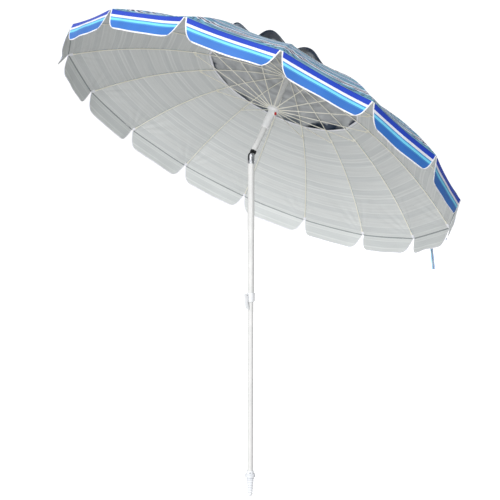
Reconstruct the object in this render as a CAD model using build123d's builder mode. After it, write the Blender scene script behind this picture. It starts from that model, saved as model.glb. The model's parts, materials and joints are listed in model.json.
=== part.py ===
"""Beach umbrella: tilting canopy on a telescoping pole with a screw-in sand anchor.

Millimetres, +Z up. The origin is the tip of the sand anchor, on the axis of the straight lower pole.
Everything above the tilt joint is drawn in the canopy's own frame, whose origin is the tilt pin.
"""
from build123d import *
from math import asin, atan2, cos, degrees, hypot, radians, sin
import os

os.makedirs("parts", exist_ok=True)

# ---- poles -------------------------------------------------------------------------------------
MAIN_OD = 32.0  # main pole
MAIN_WALL = 1.2
POLE_PLAY = 0.8  # radial space between the main pole and the lower pole inside it
LOWER_OD = MAIN_OD - 2 * MAIN_WALL - 2 * POLE_PLAY
LOWER_WALL = 1.4
CANOPY_OD = 28.0  # canopy pole, above the tilt joint
CANOPY_WALL = 1.3
SLIDE_GAP = 0.1  # radial clearance of a running fit
SEAT_GAP = 0.05  # radial clearance of a plug in its tube
LOWER_TOP = 1100.0  # top end of the lower pole, inside the main pole
MAIN_BOTTOM = 963.0
PIVOT_Z = 1648.0  # tilt pin
MAIN_BELOW_PIN = 36.0  # top end of the main pole, measured down from the tilt pin
PLUG_HEAD = 3.0  # flange of the plug at the top of the lower pole
NECK_R = 9.0  # neck of that plug, which the guide ring turns on
NECK_HEIGHT = 14.0
NECK_LIP = 1.5
NECK_LIP_HEIGHT = 4.0
PLUG_LEAD = 2.0  # taper at a plug's lower end
RING_PLAY = 0.3  # above and below the guide ring

# ---- tilt --------------------------------------------------------------------------------------
TILT = 29.3  # degrees from upright
LEAN = 34.0  # compass direction of the lean, from +X towards +Y
EAR_GAP = 12.0
EAR_INSET = 2.0  # from the outside of the main pole to the outside of the ears
EAR_WALL = MAIN_OD / 2 - EAR_INSET - EAR_GAP / 2
EAR_R = MAIN_OD / 2 - EAR_INSET
PIN_R = 4.0
PIN_HEAD = 1.6
PIN_HEAD_STEP = 2.0
PIN_CHAMFER = 0.6
GAP_UNDER_TONGUE = 6.0  # solid metal between the tilt button's bore and the gap between the ears
TONGUE_STEP = 1.0  # how much smaller the tongue is than the ears
SHOULDER_STEP = 1.5  # how far the tongue's shoulder stands out from the canopy pole
SHOULDER = 9.0
SHOULDER_TAPER = 6.0
TONGUE_PLAY = 0.3  # between tongue and each ear
CANOPY_ABOVE_PIN = 30.0  # lower end of the canopy pole, measured up from the tilt pin
PLUG_LENGTH = 34.0

# ---- canopy frame ------------------------------------------------------------------------------
RIBS = 16
FIRST_RIB = 12.0  # degrees round the canopy pole from the lean direction
SLEEVE_WALL = 5.0
SLEEVE_OD = CANOPY_OD + 2 * SLEEVE_WALL  # runner
HUB_RING_R = SLEEVE_OD / 2 + 5.0  # wire ring the ribs swing on
HUB_Z = 440.0
RUNNER_Z = 263.0  # wire ring the struts swing on
RUNNER_RING_R = HUB_RING_R
CLIP_AT_R = 460.0  # strut clip on a rib
CLIP_AT_Z = 359.0
RIB_OVER_JOINT = 8.0  # rib centre line above the strut joint
TIP_R = 994.0
TIP_Z = 83.0
RIM_OVER_TIP = 6.0
RIM_R = TIP_R + RIM_OVER_TIP  # edge of the cloth
ROD_R = 2.2
RIB_EYE_R = 3.0
BLADE = 2.4  # thickness of the flat eye end of a rib or strut
SLOT = 3.0  # slot that a blade swings in
WIRE_R = 0.8
EYE_HOLE_R = 1.3
CLIP_R = 3.8
CLIP_LENGTH = 18.0
TIP_LENGTH = 26.0
TIP_CAP_R = 3.6
CLEVIS_GAP = 3.2
CHEEK = 1.6
CLEVIS_HOLE_R = 1.9
RIVET_R = 1.2
ROD_END = 5.0  # how far a rib's rod stops short of the end of its tip cap
EAR_ROOT = 1.0  # how deep a clip's ear is let into its sleeve
RIVET_PROUD = 0.6
BLADE_SPACE = 4.0  # flattened end of a rib or strut, outside the crown
FORK_SOLID = 6.0  # solid root of a strut's fork
FORK_REACH = 1.2
CROWN_STEP = 6.0  # from the wire ring to the edge of a crown
CROWN_R = HUB_RING_R + CROWN_STEP
CROWN_HEIGHT = 12.0
CROWN_UNDER_RING = 7.0
HUB_OVER_RING = 5.0
CROWN_CHAMFER = 1.0
CROWN_NECK = 6.0  # cone under the runner's crown
CROWN_NECK_TAPER = -40.0
SLOT_OVER_EYE = 0.7
SLOT_UNDER_EYE = 1.0
STUD_R = 5.0  # stud of the finial, in the hub
STUD_LENGTH = 18.0
STUD_HOLE = 20.0
FINIAL_R = HUB_RING_R
FINIAL_HEIGHT = 15.0
FINIAL_RIM = 2.5
SLEEVE_BELOW = 108.0  # runner sleeve, below its wire ring

# ---- cloth -------------------------------------------------------------------------------------
CLOTH = 0.6
CLOTH_OVER_RIB = 4.0  # under face of the cloth above a rib's centre line
VENT_R = 388.0  # edge of the vent opening
CAP_LAP = 64.0  # how far the vent cap reaches past the opening
CAP_R = VENT_R + CAP_LAP
CAP_GAP = 1.0
CAP_TOP_R = 16.0
FLAP_HEIGHT = 84.0
FLAP_INSET = 50.0  # how far a flap's lower corner is from the rib tip
FLAP_CORNER_R = 22.0
FLAP_GAP = 3.0  # between neighbouring flaps at the rib tip
STRAP_WIDTH = 16.0
STRAP_LENGTH = 175.0
STRAP_THICK = 1.2
STRAP_OUT = 1.5  # between the flap and the strap
STRAP_FLAP = 14  # number of the flap that the strap hangs over
STRAP_SHARE = 0.55  # where it hangs along that flap
FLAP_OUT = 1.5  # how far the flaps hang outside the edge of the cloth

# ---- pole clamp --------------------------------------------------------------------------------
COLLAR_WALL = 4.0
COLLAR_R = MAIN_OD / 2 + COLLAR_WALL
COLLAR_HEIGHT = 44.0
COLLAR_OVER_MAIN = 34.0  # length of main pole inside the collar
COLLAR_FILLET = 1.5
LEVER_AZ = 215.0  # side the lever is on
LEVER_PIN_OUT = COLLAR_R + 7.0
LEVER_PIN_R = 2.0
LEVER_PIN_DOWN = 10.0
LEVER_WIDTH = 22.0
LEVER_LENGTH = 74.0
LEVER_THICK = 6.0
LEVER_CLEAR = 1.2  # between the lever and the collar
HEEL_STEP = 1.4  # lever's heel round the lug
LEVER_TAIL = 30.0  # curled lower end of the lever
LUG_WIDTH = 10.0
LUG_GAP = 0.4
LUG_WALL = 2.6
PIN_PROUD = 0.5

# ---- sand anchor -------------------------------------------------------------------------------
SOCKET_R = LOWER_OD / 2 + SEAT_GAP
BOSS_R = SOCKET_R + 4.45
BOSS_TAPER = 1.0
FLANGE_R = BOSS_R + 7.5
FLANGE_FILLET = 3.0
FLANGE_TOP = 110.0
FLANGE_THICK = 14.0
SCREW_TOP_R = BOSS_R - 2.0
SCREW_TIP_R = 9.0
THREAD_CREST = (0.35, 0.5, 0.85)  # start and end of a thread's crest and its foot, as shares of the pitch
THREADS = 7
THREAD_PITCH = 12.4
THREAD_DEPTH = 4.0
THREAD_START = 7.0
THREAD_FOOT = 0.4
SOCKET_FLOOR = 86.0
BOSS_TOP = 128.0
BOSS_STEP = 2.0
ANCHOR_SCREW_Z = 119.0
ANCHOR_SCREW_R = 2.0
SCREW_HEAD_R = 3.8
SCREW_HEAD = 1.6
SCREW_SEAT_R = BOSS_R - 1.1  # distance of the screw head's seat from the pole axis
SCREW_REACH = 2.0  # how far the screw ends inside the pole's wall

# ---- buttons -----------------------------------------------------------------------------------
RELEASE_AZ = -69.0  # side of the runner the red button is on, in the canopy frame
RELEASE_DOWN = 24.0
RELEASE_R = 7.5
BEZEL_R = 11.0
BEZEL_OUT = SLEEVE_OD / 2 + 4.0
BUTTON_PLAY = 0.3
RELEASE_PROUD = 3.0
RELEASE_TRAVEL = 2.5
RELEASE_POCKET = 5.0
TILT_BUTTON_AZ = -15.0
TILT_BUTTON_R = 4.0
TILT_BUTTON_DOWN = 29.0
TILT_BUTTON_PROUD = 3.0
TILT_BUTTON_TRAVEL = 2.5
TILT_BUTTON_POCKET = 9.0
SPRING_WIRE_R = 0.4
SPRING_GAP = 0.2
BUTTON_FILLET = 0.8
TILT_SPRING_SPACE = 1.5  # for a pressed spring, under the tilt button
RELEASE_SPRING_SPACE = 1.0

# ---- frames worked out from the sizes above -----------------------------------------------------
lean = Vector(cos(radians(LEAN)), sin(radians(LEAN)), 0)
pin_axis = Vector(-sin(radians(LEAN)), cos(radians(LEAN)), 0)
up = Vector(0, 0, 1)
canopy_axis = up * cos(radians(TILT)) + lean * sin(radians(TILT))
downhill = lean * cos(radians(TILT)) - up * sin(radians(TILT))
pivot = Vector(0, 0, PIVOT_Z)
canopy_frame = Plane(origin=pivot, x_dir=downhill, z_dir=canopy_axis)
level = Plane.XY


def above(plane, height):
    """The plane moved along its own normal."""
    return plane.offset(height)


def around(angle):
    """Direction in the canopy frame, degrees round its axis from the downhill side."""
    return downhill * cos(radians(angle)) + pin_axis * sin(radians(angle))


def rib_angle(number):
    return FIRST_RIB + number * 360 / RIBS


def spoke_plane(angle):
    """Upright plane through the canopy pole: X points outwards, Y up the pole."""
    out = around(angle)
    return Plane(origin=pivot, x_dir=out, z_dir=out.cross(canopy_axis))


def spoke_point(angle, radius, height):
    return pivot + around(angle) * radius + canopy_axis * height


# A rib is an arc of one circle through its hub eye, its strut clip and its tip.
first, middle, last = (HUB_RING_R, HUB_Z), (CLIP_AT_R, CLIP_AT_Z), (TIP_R, TIP_Z)


def circle_through(a, b, c):
    """Centre and radius of the circle through three points."""
    d = 2 * (a[0] * (b[1] - c[1]) + b[0] * (c[1] - a[1]) + c[0] * (a[1] - b[1]))
    sa, sb, sc = a[0] ** 2 + a[1] ** 2, b[0] ** 2 + b[1] ** 2, c[0] ** 2 + c[1] ** 2
    x = (sa * (b[1] - c[1]) + sb * (c[1] - a[1]) + sc * (a[1] - b[1])) / d
    y = (sa * (c[0] - b[0]) + sb * (a[0] - c[0]) + sc * (b[0] - a[0])) / d
    return x, y, hypot(a[0] - x, a[1] - y)


bend_x, bend_z, bend_r = circle_through(first, middle, last)


def on_rib(radius, over=0.0):
    """Point of the rib plane: over the rib's centre line by over, at the rib point of this radius."""
    lean_out = asin((radius - bend_x) / bend_r)
    return (
        bend_x + (bend_r + over) * sin(lean_out),
        bend_z + (bend_r + over) * cos(lean_out),
    )


def rib_slope(radius):
    return degrees(asin((radius - bend_x) / bend_r))


def save(part, name):
    part.label = name
    export_step(part, f"parts/{name}.step")


def tube(plane, bottom, top, outer, inner):
    with BuildPart() as made:
        with BuildSketch(above(plane, bottom)):
            Circle(outer)
            Circle(inner, mode=Mode.SUBTRACT)
        extrude(amount=top - bottom)
    return made


def radial_plane(angle, height):
    """Plane square to a radius of the upright pole, at a compass angle and height."""
    out = Vector(cos(radians(angle)), sin(radians(angle)), 0)
    return Plane(origin=up * height, x_dir=up.cross(out), z_dir=out)


# ---- lower pole and sand anchor ------------------------------------------------------------------
lower_r = LOWER_OD / 2

with BuildPart() as sand_anchor:
    with BuildSketch(Plane.XZ):
        with BuildLine():
            core_slope = (SCREW_TOP_R - SCREW_TIP_R) / (FLANGE_TOP - FLANGE_THICK)
            outline = [(0, 0), (SCREW_TIP_R * 0.7, 0), (SCREW_TIP_R, THREAD_START / 2)]
            for turn in range(THREADS):
                low = THREAD_START + turn * THREAD_PITCH
                core = SCREW_TIP_R + core_slope * low
                crest = core + THREAD_DEPTH
                start, end, foot = (low + THREAD_PITCH * share for share in THREAD_CREST)
                outline += [(core, low), (crest, start), (crest, end), (core + THREAD_FOOT, foot)]
            outline += [(SCREW_TOP_R, FLANGE_TOP - FLANGE_THICK), (FLANGE_R, FLANGE_TOP - FLANGE_THICK)]
            outline += [(FLANGE_R, FLANGE_TOP), (BOSS_R, FLANGE_TOP + BOSS_STEP)]
            outline += [(BOSS_R - BOSS_TAPER, BOSS_TOP)]
            outline += [(0, BOSS_TOP)]
            Polyline(*outline, close=True)
        make_face()
    revolve(axis=Axis.Z)
    with BuildSketch(above(level, SOCKET_FLOOR)):
        Circle(SOCKET_R)
    extrude(amount=BOSS_TOP - SOCKET_FLOOR, mode=Mode.SUBTRACT)
    with BuildSketch(radial_plane(-90, ANCHOR_SCREW_Z)):
        Circle(ANCHOR_SCREW_R + SEAT_GAP)
    extrude(amount=BOSS_R, mode=Mode.SUBTRACT)
    with BuildSketch(radial_plane(-90, ANCHOR_SCREW_Z).offset(SCREW_SEAT_R)):
        Circle(SCREW_HEAD_R + SEAT_GAP)
    extrude(amount=BOSS_R, mode=Mode.SUBTRACT)
    flange_rim = sand_anchor.edges().filter_by(GeomType.CIRCLE).group_by(SortBy.RADIUS)[-1]
    fillet(flange_rim, radius=FLANGE_FILLET)
save(sand_anchor.part, "sand_anchor")

with BuildPart() as anchor_screw:
    screw_end = lower_r - LOWER_WALL - SCREW_REACH
    with BuildSketch(radial_plane(-90, ANCHOR_SCREW_Z).offset(SCREW_SEAT_R)):
        Circle(SCREW_HEAD_R)
    extrude(amount=SCREW_HEAD)
    with BuildSketch(radial_plane(-90, ANCHOR_SCREW_Z).offset(screw_end)):
        Circle(ANCHOR_SCREW_R)
    extrude(amount=SCREW_SEAT_R - screw_end)
    with BuildSketch(radial_plane(-90, ANCHOR_SCREW_Z).offset(SCREW_SEAT_R + SCREW_HEAD)):
        Rectangle(SCREW_HEAD_R * 1.5, SCREW_HEAD_R / 4)
        Rectangle(SCREW_HEAD_R / 4, SCREW_HEAD_R * 1.5)
    extrude(amount=-SCREW_HEAD / 2, mode=Mode.SUBTRACT)
save(anchor_screw.part, "anchor_screw")

with BuildPart() as lower_pole:
    with BuildSketch(above(level, SOCKET_FLOOR)):
        Circle(lower_r)
        Circle(lower_r - LOWER_WALL, mode=Mode.SUBTRACT)
    extrude(amount=LOWER_TOP - SOCKET_FLOOR)
    with BuildSketch(radial_plane(-90, ANCHOR_SCREW_Z)):
        Circle(ANCHOR_SCREW_R + SEAT_GAP)
    extrude(amount=LOWER_OD, mode=Mode.SUBTRACT)
save(lower_pole.part, "lower_pole")

# ---- plug and guide ring at the top of the lower pole --------------------------------------------
main_r = MAIN_OD / 2
main_bore = main_r - MAIN_WALL
with BuildPart() as pole_plug:
    with BuildSketch(Plane.XZ):
        plug_r = lower_r - LOWER_WALL - SEAT_GAP
        plug_end = LOWER_TOP - PLUG_LENGTH
        head_top = LOWER_TOP + PLUG_HEAD
        lip_r = NECK_R + NECK_LIP
        neck_top = LOWER_TOP + PLUG_HEAD + NECK_HEIGHT
        with BuildLine():
            Polyline(
                (0, plug_end), (plug_r - PLUG_LEAD / 2, plug_end), (plug_r, plug_end + PLUG_LEAD),
                (plug_r, LOWER_TOP), (lower_r, LOWER_TOP), (lower_r, head_top), (NECK_R, head_top),
                (NECK_R, neck_top), (lip_r, neck_top), (lip_r, neck_top + NECK_LIP / 2),
                (NECK_R - NECK_LIP, neck_top + NECK_LIP_HEIGHT), (0, neck_top + NECK_LIP_HEIGHT),
                close=True,
            )
        make_face()
    revolve(axis=Axis.Z)
save(pole_plug.part, "pole_plug")

guide_ring = tube(
    level, head_top + RING_PLAY, neck_top - RING_PLAY, main_bore - SLIDE_GAP, NECK_R + SLIDE_GAP
)
save(guide_ring.part, "guide_ring")

# ---- main pole and its clamp ---------------------------------------------------------------------
main_top = PIVOT_Z - MAIN_BELOW_PIN
main_pole = tube(level, MAIN_BOTTOM, main_top, main_r, main_bore)
save(main_pole.part, "main_pole")

collar_bottom = MAIN_BOTTOM - COLLAR_HEIGHT + COLLAR_OVER_MAIN
collar_top = collar_bottom + COLLAR_HEIGHT
lever_out = Vector(cos(radians(LEVER_AZ)), sin(radians(LEVER_AZ)), 0)
lever_pin_z = collar_top - LEVER_PIN_DOWN
lever_plane = Plane(origin=(0, 0, 0), x_dir=lever_out, z_dir=lever_out.cross(up))
lug_r = LEVER_PIN_R + LUG_WALL

with BuildPart() as clamp_collar:
    with BuildSketch(above(level, collar_bottom)):
        Circle(COLLAR_R)
    extrude(amount=COLLAR_HEIGHT)
    fillet(clamp_collar.edges().filter_by(GeomType.CIRCLE), radius=COLLAR_FILLET)
    with BuildSketch(lever_plane):
        with Locations((LEVER_PIN_OUT, lever_pin_z)):
            Circle(lug_r)
        with Locations((LEVER_PIN_OUT / 2 + COLLAR_R / 4, lever_pin_z)):
            Rectangle(LEVER_PIN_OUT - COLLAR_R / 2, 2 * lug_r)
    extrude(amount=LUG_WIDTH / 2, both=True)
    with BuildSketch(above(level, MAIN_BOTTOM)):
        Circle(main_r + SEAT_GAP)
    extrude(amount=COLLAR_HEIGHT, mode=Mode.SUBTRACT)
    with BuildSketch(above(level, collar_bottom)):
        Circle(lower_r + SLIDE_GAP)
    extrude(amount=COLLAR_HEIGHT, mode=Mode.SUBTRACT)
    with BuildSketch(lever_plane):
        with Locations((LEVER_PIN_OUT, lever_pin_z)):
            Circle(LEVER_PIN_R + SEAT_GAP)
    extrude(amount=LEVER_WIDTH, both=True, mode=Mode.SUBTRACT)
save(clamp_collar.part, "clamp_collar")

with BuildPart() as clamp_pin:
    with BuildSketch(lever_plane):
        with Locations((LEVER_PIN_OUT, lever_pin_z)):
            Circle(LEVER_PIN_R)
    extrude(amount=LEVER_WIDTH / 2 + PIN_PROUD, both=True)
save(clamp_pin.part, "clamp_pin")

with BuildPart() as clamp_lever:
    heel_r = lug_r + HEEL_STEP
    back_r = heel_r - PIN_PROUD
    inner = COLLAR_R + LEVER_CLEAR
    with BuildSketch(lever_plane):
        with BuildLine():
            tail_z = lever_pin_z - LEVER_LENGTH + heel_r
            back = Spline(
                (LEVER_PIN_OUT + back_r, lever_pin_z),
                (inner + LEVER_THICK + LEVER_CLEAR, tail_z + LEVER_TAIL),
                (inner + LEVER_THICK / 3, tail_z),
            )
            tail = Line(back @ 1, (inner - LEVER_THICK + LEVER_CLEAR, tail_z + LEVER_CLEAR))
            Polyline(tail @ 1, (inner, tail_z + LEVER_TAIL * 0.9), (inner, lever_pin_z), back @ 0)
        make_face()
        with Locations((LEVER_PIN_OUT, lever_pin_z)):
            Circle(back_r)
    extrude(amount=LEVER_WIDTH / 2, both=True)
    with BuildSketch(lever_plane):
        with Locations((LEVER_PIN_OUT, lever_pin_z + heel_r)):
            Rectangle(4 * heel_r, 2 * (heel_r + lug_r + LUG_GAP))
    extrude(amount=LUG_WIDTH / 2 + LUG_GAP, both=True, mode=Mode.SUBTRACT)
    with BuildSketch(lever_plane):
        with Locations((LEVER_PIN_OUT, lever_pin_z)):
            Circle(LEVER_PIN_R + SEAT_GAP)
    extrude(amount=LEVER_WIDTH, both=True, mode=Mode.SUBTRACT)
save(clamp_lever.part, "clamp_lever")

# ---- tilt joint ------------------------------------------------------------------------------------
knuckle_plane = Plane(origin=pivot, x_dir=lean, z_dir=-pin_axis)
half_width = EAR_GAP / 2 + EAR_WALL
gap_floor = MAIN_BELOW_PIN - TILT_BUTTON_R * 2 - GAP_UNDER_TONGUE
button_out = Vector(cos(radians(TILT_BUTTON_AZ)), sin(radians(TILT_BUTTON_AZ)), 0)
button_plane = Plane(origin=pivot - up * TILT_BUTTON_DOWN, x_dir=up.cross(button_out), z_dir=button_out)

with BuildPart() as tilt_fork:
    with BuildSketch(knuckle_plane):
        Circle(EAR_R)
        with Locations((0, -MAIN_BELOW_PIN / 2)):
            Rectangle(2 * EAR_R, MAIN_BELOW_PIN)
    extrude(amount=half_width, both=True)
    with BuildSketch(above(level, main_top)):
        Circle(main_r)
    extrude(amount=PIVOT_Z - main_top - gap_floor)
    with BuildSketch(above(level, main_top)):
        Circle(main_r)
    extrude(amount=MAIN_BELOW_PIN + EAR_R, mode=Mode.INTERSECT)
    with BuildSketch(knuckle_plane):
        with Locations((0, EAR_R - gap_floor / 2)):
            Rectangle(2 * MAIN_OD, 2 * EAR_R + gap_floor)
    extrude(amount=EAR_GAP / 2, both=True, mode=Mode.SUBTRACT)
    with BuildSketch(above(level, main_top - PLUG_LENGTH)):
        Circle(main_bore - SEAT_GAP)
    extrude(amount=PLUG_LENGTH)
    with BuildSketch(knuckle_plane):
        Circle(PIN_R + SEAT_GAP)
    extrude(amount=MAIN_OD, both=True, mode=Mode.SUBTRACT)
    with BuildSketch(button_plane.offset(main_r - TILT_BUTTON_POCKET)):
        Circle(TILT_BUTTON_R + SLIDE_GAP)
    extrude(amount=MAIN_OD, mode=Mode.SUBTRACT)
save(tilt_fork.part, "tilt_fork")

with BuildPart() as tilt_pin:
    with BuildSketch(knuckle_plane.offset(-half_width - PIN_HEAD / 2)):
        Circle(PIN_R)
    extrude(amount=2 * half_width + PIN_HEAD / 2)
    with BuildSketch(knuckle_plane.offset(half_width)):
        Circle(PIN_R + PIN_HEAD_STEP)
    extrude(amount=PIN_HEAD)
    chamfer(tilt_pin.edges().group_by(SortBy.LENGTH)[-1].sort_by(Axis.Y)[0], length=PIN_CHAMFER)
save(tilt_pin.part, "tilt_pin")

canopy_r = CANOPY_OD / 2
canopy_bore = canopy_r - CANOPY_WALL
pin_line_plane = Plane(origin=pivot, x_dir=downhill, z_dir=-pin_axis)
with BuildPart() as tilt_tongue:
    tongue_r = EAR_R - TONGUE_STEP
    shoulder = CANOPY_ABOVE_PIN - SHOULDER
    with BuildSketch(pin_line_plane):
        Circle(tongue_r)
        with Locations((0, CANOPY_ABOVE_PIN / 2)):
            Rectangle(2 * tongue_r, CANOPY_ABOVE_PIN)
    extrude(amount=EAR_GAP / 2 - TONGUE_PLAY, both=True)
    with BuildSketch(above(canopy_frame, shoulder)):
        Circle(canopy_r + SHOULDER_STEP)
    extrude(amount=SHOULDER, taper=SHOULDER_TAPER)
    with BuildSketch(above(canopy_frame, CANOPY_ABOVE_PIN)):
        Circle(canopy_bore - SEAT_GAP)
    extrude(amount=PLUG_LENGTH)
    with BuildSketch(pin_line_plane):
        Circle(PIN_R + SEAT_GAP)
    extrude(amount=MAIN_OD, both=True, mode=Mode.SUBTRACT)
save(tilt_tongue.part, "tilt_tongue")


def coil_spring(plane, base, length, radius, turns, wire_r):
    """A coil standing on plane, its ends a wire radius clear of what it pushes on."""
    low = base + wire_r + SPRING_GAP
    rise = length - 2 * wire_r - 2 * SPRING_GAP
    with BuildPart() as spring:
        with BuildLine() as coil:
            Helix(rise / turns, rise, radius, center=plane.offset(low).origin, direction=plane.z_dir)
        with BuildSketch(Plane(origin=coil.line @ 0, z_dir=coil.line % 0)):
            Circle(wire_r)
        sweep(path=coil.line, is_frenet=True)
    return spring


def push_button(plane, inner, outer, radius):
    with BuildPart() as button:
        with BuildSketch(plane.offset(inner)):
            Circle(radius)
        extrude(amount=outer - inner)
        outer_edge = button.edges().filter_by(GeomType.CIRCLE).sort_by(Axis(plane.origin, plane.z_dir))[-1]
        fillet(outer_edge, BUTTON_FILLET)
    return button


tilt_floor = main_r - TILT_BUTTON_POCKET
tilt_button_inner = tilt_floor + TILT_BUTTON_TRAVEL + TILT_SPRING_SPACE
tilt_button = push_button(button_plane, tilt_button_inner, main_r + TILT_BUTTON_PROUD, TILT_BUTTON_R)
save(tilt_button.part, "tilt_button")
tilt_spring = coil_spring(
    button_plane, tilt_floor, tilt_button_inner - tilt_floor, TILT_BUTTON_R - 1.2, 3, SPRING_WIRE_R
)
save(tilt_spring.part, "tilt_spring")

# ---- canopy pole, hub and finial -------------------------------------------------------------------
hub_bottom = HUB_Z - CROWN_UNDER_RING
hub_top = HUB_Z + HUB_OVER_RING
canopy_pole = tube(canopy_frame, CANOPY_ABOVE_PIN, hub_bottom, canopy_r, canopy_bore)
save(canopy_pole.part, "canopy_pole")


def blade_slots(low, high, ring_r, ring_z):
    """What the blades and their wire ring take out of a hub: a slot for each blade and the ring's channel."""
    inner_r = ring_r - RIB_EYE_R - SLOT_UNDER_EYE
    reach = CROWN_R - inner_r + CROWN_CHAMFER
    with BuildPart() as cut:
        for number in range(RIBS):
            with BuildSketch(spoke_plane(rib_angle(number))):
                with Locations((inner_r + reach / 2, (low + high) / 2)):
                    Rectangle(reach, high - low)
            extrude(amount=SLOT / 2, both=True)
        with BuildSketch(spoke_plane(0)):
            with Locations((ring_r, ring_z)):
                Circle(WIRE_R + SLIDE_GAP)
        revolve(axis=Axis(pivot, canopy_axis))
    return cut.part


hub_cut = blade_slots(
    hub_bottom - SLOT_UNDER_EYE, HUB_Z + RIB_EYE_R + SLOT_OVER_EYE, HUB_RING_R, HUB_Z
)
with BuildPart() as top_hub:
    with BuildSketch(above(canopy_frame, hub_bottom - PLUG_LENGTH)):
        Circle(canopy_bore - SEAT_GAP)
    extrude(amount=PLUG_LENGTH)
    with BuildSketch(above(canopy_frame, hub_bottom)):
        Circle(CROWN_R)
    extrude(amount=hub_top - hub_bottom)
    chamfer(top_hub.edges().filter_by(GeomType.CIRCLE).group_by(SortBy.RADIUS)[-1], length=CROWN_CHAMFER)
    add(hub_cut, mode=Mode.SUBTRACT)
    with BuildSketch(above(canopy_frame, hub_top)):
        Circle(STUD_R + SEAT_GAP)
    extrude(amount=-STUD_HOLE, mode=Mode.SUBTRACT)
save(top_hub.part, "top_hub")


def wire_ring(ring_r, height, name):
    with BuildPart() as ring:
        with BuildSketch(spoke_plane(0)):
            with Locations((ring_r, height)):
                Circle(WIRE_R)
        revolve(axis=Axis(pivot, canopy_axis))
    save(ring.part, name)


wire_ring(HUB_RING_R, HUB_Z, "hub_wire")
wire_ring(RUNNER_RING_R, RUNNER_Z, "runner_wire")

cap_under = CLOTH_OVER_RIB + CLOTH + CAP_GAP
finial_seat = on_rib(CAP_TOP_R, cap_under + CLOTH)[1] + CAP_GAP
with BuildPart() as finial:
    with BuildSketch(spoke_plane(0)):
        with BuildLine():
            foot_line = Line((0, finial_seat), (FINIAL_R, finial_seat))
            rim_line = Line(foot_line @ 1, (FINIAL_R, finial_seat + FINIAL_RIM))
            dome = TangentArc(
                (0, finial_seat + FINIAL_HEIGHT), rim_line @ 1, tangent=(1, 0), tangent_from_first=True
            )
            Line(dome @ 0, (0, finial_seat))
        make_face()
    revolve(axis=Axis(pivot, canopy_axis))
    with BuildSketch(above(canopy_frame, hub_top - STUD_LENGTH)):
        Circle(STUD_R)
    extrude(amount=finial_seat - hub_top + STUD_LENGTH)
save(finial.part, "finial")

# ---- runner and its release button -----------------------------------------------------------------
sleeve_r = SLEEVE_OD / 2
crown_bottom = RUNNER_Z - CROWN_UNDER_RING
release_z = RUNNER_Z - RELEASE_DOWN
release_out = around(RELEASE_AZ)
release_plane = Plane(
    origin=pivot + canopy_axis * release_z, x_dir=canopy_axis.cross(release_out), z_dir=release_out
)
runner_cut = blade_slots(
    RUNNER_Z - RIB_EYE_R - SLOT_UNDER_EYE, RUNNER_Z + CROWN_HEIGHT, RUNNER_RING_R, RUNNER_Z
)
with BuildPart() as runner:
    with BuildSketch(above(canopy_frame, RUNNER_Z - SLEEVE_BELOW)):
        Circle(sleeve_r)
    extrude(amount=SLEEVE_BELOW)
    chamfer(runner.edges().filter_by(GeomType.CIRCLE), length=CROWN_CHAMFER)
    with BuildSketch(above(canopy_frame, crown_bottom)):
        Circle(CROWN_R)
    extrude(amount=CROWN_HEIGHT)
    with BuildSketch(above(canopy_frame, crown_bottom - CROWN_NECK)):
        Circle(sleeve_r)
    extrude(amount=CROWN_NECK, taper=CROWN_NECK_TAPER)
    with BuildSketch(release_plane):
        Circle(BEZEL_R)
    extrude(amount=BEZEL_OUT)
    add(runner_cut, mode=Mode.SUBTRACT)
    with BuildSketch(release_plane.offset(BEZEL_OUT - RELEASE_POCKET)):
        Circle(RELEASE_R + BUTTON_PLAY)
    extrude(amount=CROWN_R, mode=Mode.SUBTRACT)
    with BuildSketch(canopy_frame):
        Circle(canopy_r + SLIDE_GAP)
    extrude(amount=HUB_Z, mode=Mode.SUBTRACT)
save(runner.part, "runner")

release_floor = BEZEL_OUT - RELEASE_POCKET
release_inner = release_floor + RELEASE_TRAVEL + RELEASE_SPRING_SPACE
release_button = push_button(release_plane, release_inner, BEZEL_OUT + RELEASE_PROUD, RELEASE_R)
save(release_button.part, "release_button")
release_spring = coil_spring(
    release_plane, release_floor, release_inner - release_floor, RELEASE_R - 2.5, 2, SPRING_WIRE_R
)
save(release_spring.part, "release_spring")

# ---- ribs and struts -------------------------------------------------------------------------------
def rib_stretch(plane, start, end, outer, inner=0.0):
    """A rod, or a sleeve on the rod, along the rib between two radii."""
    with BuildPart() as made:
        with BuildLine(plane) as path:
            ThreePointArc(on_rib(start), on_rib((start + end) / 2), on_rib(end))
        with BuildSketch(Plane(origin=path.line @ 0, z_dir=path.line % 0)):
            Circle(outer)
            if inner:
                Circle(inner, mode=Mode.SUBTRACT)
        sweep(path=path.line)
    return made


blade_end_r = CROWN_R + BLADE_SPACE
joint_x, joint_z = on_rib(CLIP_AT_R, -RIB_OVER_JOINT)


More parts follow.
